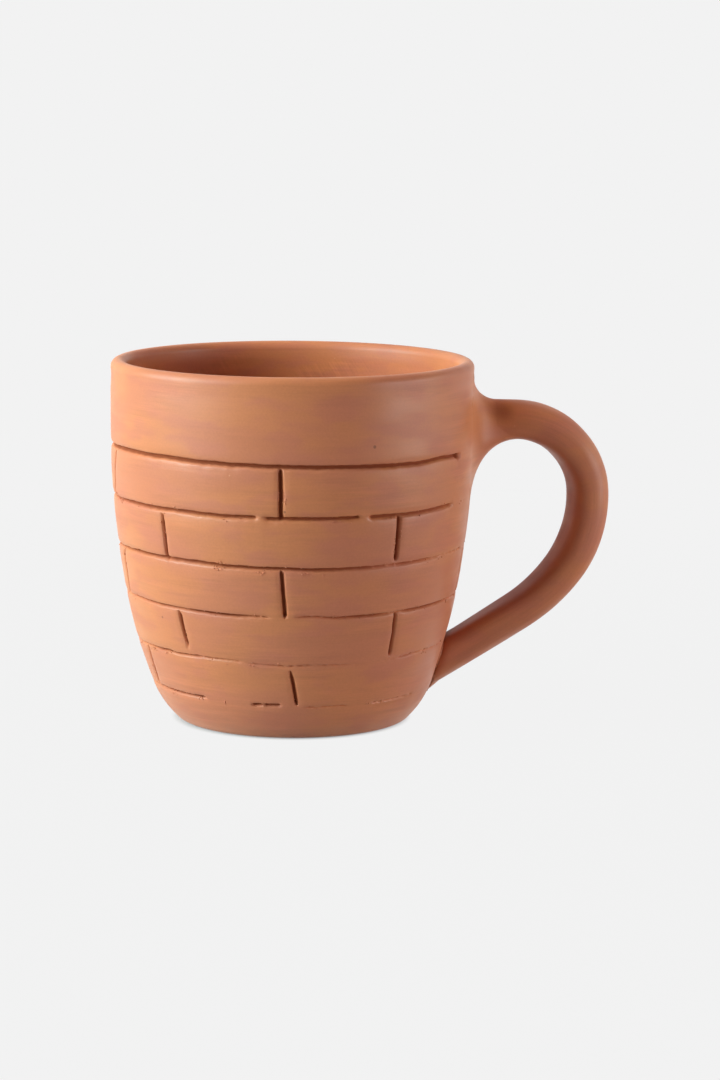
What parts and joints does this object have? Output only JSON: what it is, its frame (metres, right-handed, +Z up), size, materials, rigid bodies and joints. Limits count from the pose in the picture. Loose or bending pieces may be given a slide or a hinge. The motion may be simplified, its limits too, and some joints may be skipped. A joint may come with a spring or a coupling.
{
  "type": "clay cup with a handle",
  "caption": "Unglazed clay cup with a loop handle, a plain band under the lip and a brick pattern cut into its wall.",
  "frame": {"origin": "centre of the flat foot, on the surface the cup stands on", "axes": "+Z up along the cup's axis, +X from the axis out through the handle, +Y across the handle"},
  "size_m": [0.1251, 0.09, 0.09],
  "materials": {
    "thrown_clay": "satin",
    "pulled_clay": "satin",
    "luting_clay": "matte",
    "slip": "matte"
  },
  "bodies": {
    "root": {"thrown_body": "thrown_clay", "handle": "pulled_clay", "upper_slip_layer": "slip", "lower_slip_layer": "slip", "upper_luting_clay": "luting_clay", "lower_luting_clay": "luting_clay"}
  },
  "joints": []
}
